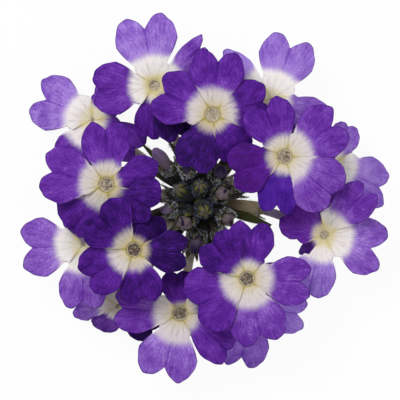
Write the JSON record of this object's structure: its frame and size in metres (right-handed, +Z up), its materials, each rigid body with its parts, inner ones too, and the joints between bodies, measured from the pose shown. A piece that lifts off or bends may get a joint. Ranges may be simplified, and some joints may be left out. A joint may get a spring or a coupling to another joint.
{
  "type": "verbena flower head",
  "caption": "Flat round flower head: five-lobed purple florets with white eyes, in tiers round a knot of green toothed calyces and closed buds, lying face up.",
  "frame": {"origin": "on the surface the head rests on, under the middle of its outline", "axes": "+Z up out of the face of the head, as the picture looks down on it; +X to the picture's right and +Y to its top"},
  "size_m": [0.0668, 0.0667, 0.0184],
  "materials": {
    "calyx_green": "hairy green plant tissue",
    "petal": "thin velvety petal",
    "bud_pink": "matt bud",
    "bud_green": "matt bud",
    "bud_lilac": "matt bud",
    "bud_purple": "matt bud"
  },
  "bodies": {
    "root": {"stalk_and_calyces": "calyx_green", "corolla_01": "petal", "corolla_02": "petal", "corolla_03": "petal", "corolla_04": "petal", "corolla_05": "petal", "corolla_06": "petal", "corolla_07": "petal", "corolla_08": "petal", "corolla_09": "petal", "corolla_10": "petal", "corolla_11": "petal", "corolla_12": "petal", "corolla_13": "petal", "corolla_14": "petal", "bud_01": "bud_pink", "bud_02": "bud_green", "bud_03": "bud_pink", "bud_04": "bud_pink", "bud_05": "bud_pink", "bud_06": "bud_purple", "bud_07": "bud_purple", "bud_08": "bud_purple", "bud_09": "bud_lilac", "bud_10": "bud_lilac", "bud_11": "bud_purple"}
  },
  "joints": []
}
